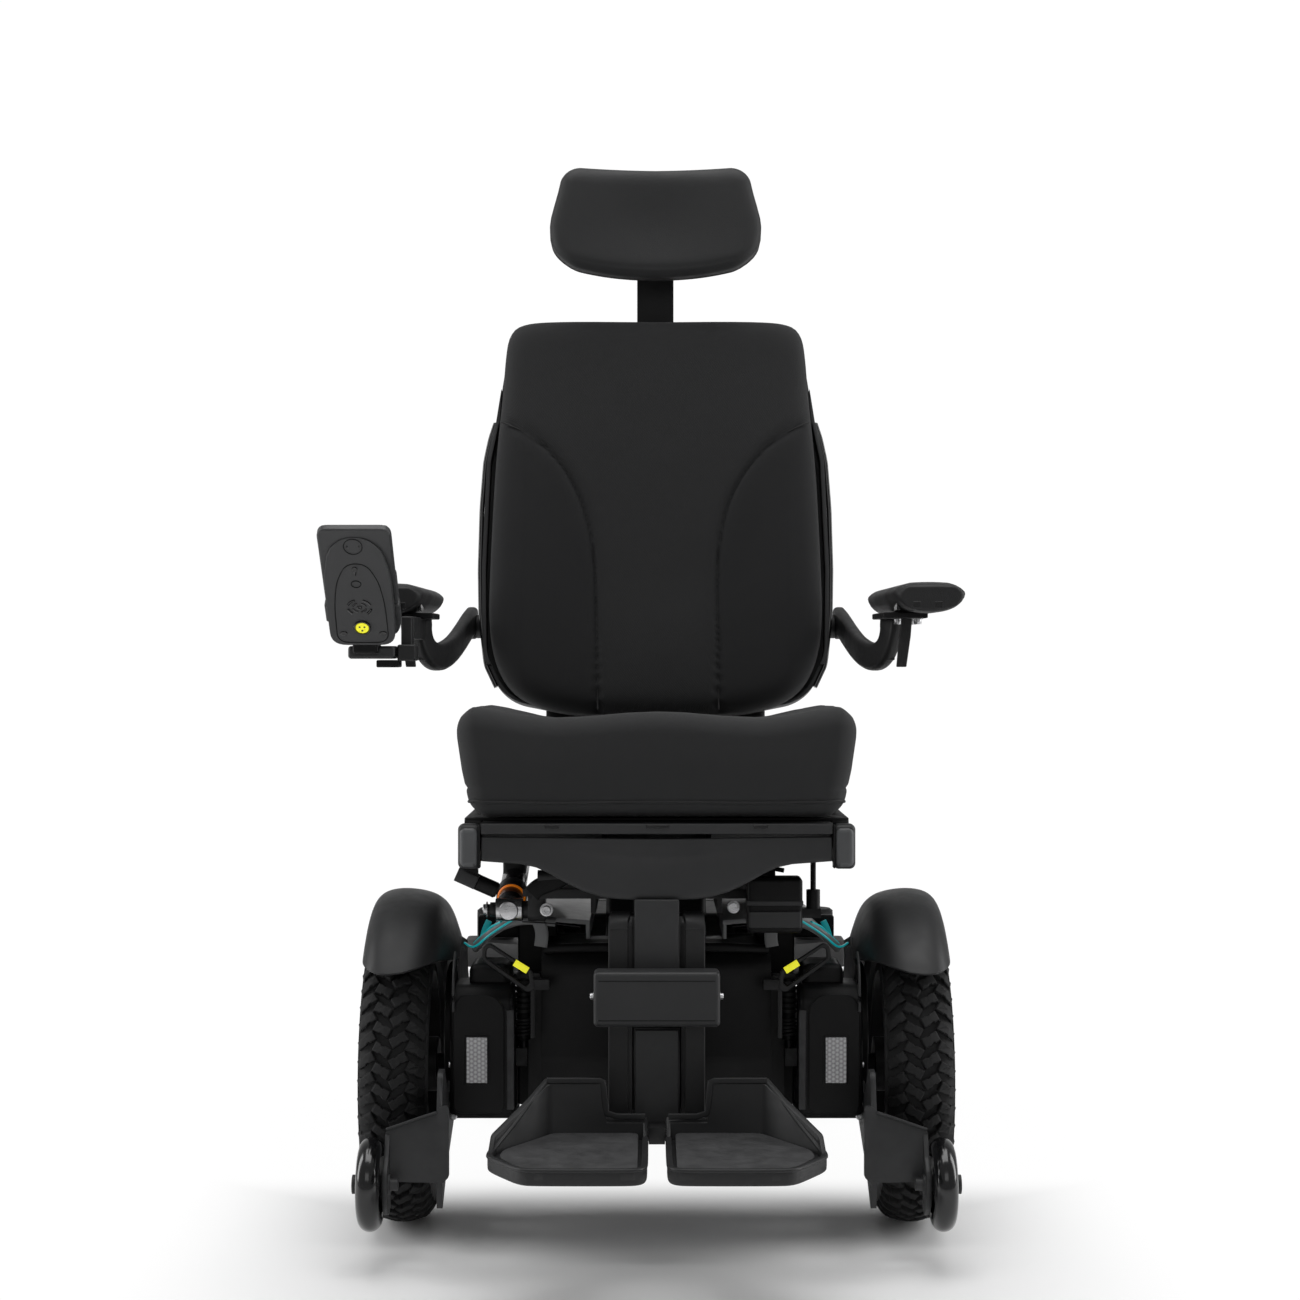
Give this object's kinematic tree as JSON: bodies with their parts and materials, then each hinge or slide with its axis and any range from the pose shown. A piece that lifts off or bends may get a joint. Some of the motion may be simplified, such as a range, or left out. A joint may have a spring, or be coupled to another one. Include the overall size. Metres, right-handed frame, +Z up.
{
  "type": "power wheelchair",
  "caption": "Front-wheel-drive power wheelchair with lifting, tilting, reclining seat, elevating footrest, headrest, flip-up armrests and joystick.",
  "frame": {"origin": "on the floor plane, on the chair's plane of symmetry, halfway along its overall length; the control module makes the -X side a little wider", "axes": "+Z up, -Y towards the front (the way the occupant faces), +X towards the occupant's left"},
  "size_m": [0.696, 1.161, 1.257],
  "materials": {
    "charcoal_plastic": "satin moulded plastic, charcoal",
    "black_plastic": "textured moulded plastic, near black",
    "gloss_grey": "gloss grey shoulder covers",
    "teal_gloss": "gloss teal accent",
    "black_metal": "black powder coat",
    "silver_metal": "zinc plated steel",
    "fabric_black": "black upholstery cover",
    "soft_black": "skinned black foam",
    "tyre_black": "block tread rubber",
    "rim_black": "satin black cast wheel",
    "caster_grey": "solid caster tyre",
    "mat_grey": "ribbed footplate",
    "battery_case": "battery case",
    "module_case": "cast controller case"
  },
  "bodies": {
    "base": {"chassis_frame": "black_metal", "battery_pack": "battery_case", "power_module": "module_case", "front_shell": "black_plastic", "shoulder_covers": "gloss_grey", "accent_trim": "teal_gloss", "rear_cover": "black_plastic", "tie_down_loops": "black_metal", "lift_outer_column": "black_metal", "suspension_dampers": "black_metal"},
    "lift_middle": {"lift_middle_column": "black_metal"},
    "lift_top": {"lift_inner_column": "silver_metal", "seat_platform": "black_metal", "lift_motor": "black_plastic"},
    "tilt_tube": {"tilt_actuator_tube": "black_metal"},
    "tilt_rod": {"tilt_actuator_rod": "silver_metal"},
    "seat": {"seat_frame": "black_metal", "seat_pan": "black_metal", "rail_end_caps": "charcoal_plastic", "seat_cushion": "fabric_black"},
    "legrest": {"knee_cover": "black_plastic", "legrest_column": "black_metal", "calf_housing": "black_plastic"},
    "leg_carriage": {"legrest_carriage": "black_metal"},
    "back": {"back_frame": "black_metal", "back_shell": "charcoal_plastic", "back_cushion": "fabric_black"},
    "head_post": {"headrest_post": "black_metal"},
    "head_pad": {"headrest_pad": "soft_black"},
    "joy_module": {"joystick_mount": "black_metal", "joystick_housing": "charcoal_plastic"},
    "joy_gimbal": {"joystick_boot": "soft_black"},
    "joy_stick": {"joystick_stick": "black_plastic"},
    "joy_button": {"joystick_button": "mat_grey"},
    "drive_left": {"drive_unit_left": "black_metal", "motor_cover_left": "black_plastic", "fender_left": "charcoal_plastic"},
    "wheel_left": {"drive_tyre_left": "tyre_black", "drive_rim_left": "rim_black"},
    "support_left": {"support_arm_left": "charcoal_plastic"},
    "roller_left": {"support_roller_left": "caster_grey"},
    "caster_swivel_left": {"caster_fork_left": "black_metal"},
    "caster_wheel_left": {"caster_tyre_left": "caster_grey", "caster_hub_left": "rim_black"},
    "footplate_left": {"footplate_left": "mat_grey"},
    "armrest_left": {"armrest_arm_left": "black_metal", "armrest_pad_left": "soft_black"},
    "drive_right": {"drive_unit_right": "black_metal", "motor_cover_right": "black_plastic", "fender_right": "charcoal_plastic"},
    "wheel_right": {"drive_tyre_right": "tyre_black", "drive_rim_right": "rim_black"},
    "support_right": {"support_arm_right": "charcoal_plastic"},
    "roller_right": {"support_roller_right": "caster_grey"},
    "caster_swivel_right": {"caster_fork_right": "black_metal"},
    "caster_wheel_right": {"caster_tyre_right": "caster_grey", "caster_hub_right": "rim_black"},
    "footplate_right": {"footplate_right": "mat_grey"},
    "armrest_right": {"armrest_arm_right": "black_metal", "armrest_pad_right": "soft_black"}
  },
  "joints": [
    {"name": "suspension_left", "type": "hinge", "parent": "base", "child": "drive_left", "pos_m": [0.172, -0.0145, 0.17], "axis": [1, 0, 0], "range_deg": [-2.5, 3], "stiffness_Nm_per_rad": 9000},
    {"name": "wheel_spin_left", "type": "hinge", "parent": "drive_left", "child": "wheel_left", "pos_m": [0.287, -0.1345, 0.177], "axis": [1, 0, 0], "continuous": true},
    {"name": "support_arm_drop_left", "type": "hinge", "parent": "drive_left", "child": "support_left", "pos_m": [0.23, -0.2045, 0.15], "axis": [1, 0, 0], "range_deg": [0, 11], "stiffness_Nm_per_rad": 300},
    {"name": "support_roller_spin_left", "type": "hinge", "parent": "support_left", "child": "roller_left", "pos_m": [0.302, -0.3625, 0.09], "axis": [1, 0, 0], "continuous": true},
    {"name": "caster_swivel_left", "type": "hinge", "parent": "base", "child": "caster_swivel_left", "pos_m": [0.222, 0.4455, 0.24], "axis": [0, 0, 1], "continuous": true},
    {"name": "caster_roll_left", "type": "hinge", "parent": "caster_swivel_left", "child": "caster_wheel_left", "pos_m": [0.222, 0.4905, 0.09], "axis": [1, 0, 0], "continuous": true},
    {"name": "suspension_right", "type": "hinge", "parent": "base", "child": "drive_right", "pos_m": [-0.172, -0.0145, 0.17], "axis": [1, 0, 0], "range_deg": [-2.5, 3], "stiffness_Nm_per_rad": 9000},
    {"name": "wheel_spin_right", "type": "hinge", "parent": "drive_right", "child": "wheel_right", "pos_m": [-0.287, -0.1345, 0.177], "axis": [1, 0, 0], "continuous": true},
    {"name": "support_arm_drop_right", "type": "hinge", "parent": "drive_right", "child": "support_right", "pos_m": [-0.23, -0.2045, 0.15], "axis": [1, 0, 0], "range_deg": [0, 11], "stiffness_Nm_per_rad": 300},
    {"name": "support_roller_spin_right", "type": "hinge", "parent": "support_right", "child": "roller_right", "pos_m": [-0.302, -0.3625, 0.09], "axis": [1, 0, 0], "continuous": true},
    {"name": "caster_swivel_right", "type": "hinge", "parent": "base", "child": "caster_swivel_right", "pos_m": [-0.222, 0.4455, 0.24], "axis": [0, 0, 1], "continuous": true},
    {"name": "caster_roll_right", "type": "hinge", "parent": "caster_swivel_right", "child": "caster_wheel_right", "pos_m": [-0.222, 0.4905, 0.09], "axis": [1, 0, 0], "continuous": true},
    {"name": "lift_middle_slide", "type": "slide", "parent": "base", "child": "lift_middle", "axis": [0, 0, 1], "range_m": [0, 0.15]},
    {"name": "lift_top_slide", "type": "slide", "parent": "lift_middle", "child": "lift_top", "axis": [0, 0, 1], "range_m": [0, 0.15]},
    {"name": "seat_tilt", "type": "hinge", "parent": "lift_top", "child": "seat", "pos_m": [0, 0.0305, 0.392], "axis": [-1, 0, 0], "range_deg": [0, 40]},
    {"name": "tilt_tube_swing", "type": "hinge", "parent": "lift_top", "child": "tilt_tube", "pos_m": [-0.162, -0.2445, 0.366], "axis": [1, 0, 0], "range_deg": [0, 2.6]},
    {"name": "tilt_rod_slide", "type": "slide", "parent": "tilt_tube", "child": "tilt_rod", "axis": [0, 0.9745, 0.2245], "range_m": [0, 0.03]},
    {"name": "back_recline", "type": "hinge", "parent": "seat", "child": "back", "pos_m": [0, 0.1005, 0.47], "axis": [-1, 0, 0], "range_deg": [0, 55], "stiffness_Nm_per_rad": 1500},
    {"name": "legrest_elevate", "type": "hinge", "parent": "seat", "child": "legrest", "pos_m": [0, -0.3565, 0.44], "axis": [-1, 0, 0], "range_deg": [0, 70], "stiffness_Nm_per_rad": 120},
    {"name": "legrest_extend", "type": "slide", "parent": "legrest", "child": "leg_carriage", "axis": [0, 0, -1], "range_m": [0, 0.1], "stiffness_N_per_m": 8000},
    {"name": "footplate_flip_left", "type": "hinge", "parent": "leg_carriage", "child": "footplate_left", "pos_m": [0.082, -0.4085, 0.15], "axis": [-1, 0, 0], "range_deg": [0, 75]},
    {"name": "armrest_flip_left", "type": "hinge", "parent": "back", "child": "armrest_left", "pos_m": [0.238, 0.1775, 0.682], "axis": [-1, 0, 0], "range_deg": [0, 85]},
    {"name": "footplate_flip_right", "type": "hinge", "parent": "leg_carriage", "child": "footplate_right", "pos_m": [-0.082, -0.4085, 0.15], "axis": [-1, 0, 0], "range_deg": [0, 75]},
    {"name": "armrest_flip_right", "type": "hinge", "parent": "back", "child": "armrest_right", "pos_m": [-0.238, 0.1775, 0.682], "axis": [-1, 0, 0], "range_deg": [0, 85]},
    {"name": "headrest_height", "type": "slide", "parent": "back", "child": "head_post", "axis": [0, 0.1392, 0.9903], "range_m": [0, 0.08]},
    {"name": "headrest_angle", "type": "hinge", "parent": "head_post", "child": "head_pad", "pos_m": [0, 0.2095, 1.166], "axis": [1, 0, 0], "range_deg": [-20, 20], "stiffness_Nm_per_rad": 20},
    {"name": "control_swing_away", "type": "hinge", "parent": "armrest_right", "child": "joy_module", "pos_m": [-0.314, -0.2525, 0.648], "axis": [0, 0, -1], "range_deg": [0, 90], "stiffness_Nm_per_rad": 5},
    {"name": "stick_fore_aft", "type": "hinge", "parent": "joy_module", "child": "joy_gimbal", "pos_m": [-0.314, -0.29048, 0.70107], "axis": [1, 0, 0], "range_deg": [-15, 15], "stiffness_Nm_per_rad": 0.3},
    {"name": "stick_side", "type": "hinge", "parent": "joy_gimbal", "child": "joy_stick", "pos_m": [-0.314, -0.29048, 0.70107], "axis": [0, 0.7218, -0.6921], "range_deg": [-15, 15], "stiffness_Nm_per_rad": 0.3},
    {"name": "button_press", "type": "slide", "parent": "joy_module", "child": "joy_button", "axis": [0, -0.6921, -0.7218], "range_m": [0, 0.002], "stiffness_N_per_m": 400}
  ],
  "couplings": [
    {"joint": "lift_middle_slide", "follows": "lift_top_slide", "ratio": 1},
    {"joint": "tilt_tube_swing", "follows": "seat_tilt", "ratio": 0.0626},
    {"joint": "tilt_rod_slide", "follows": "seat_tilt", "m_per_rad": 0.042}
  ]
}
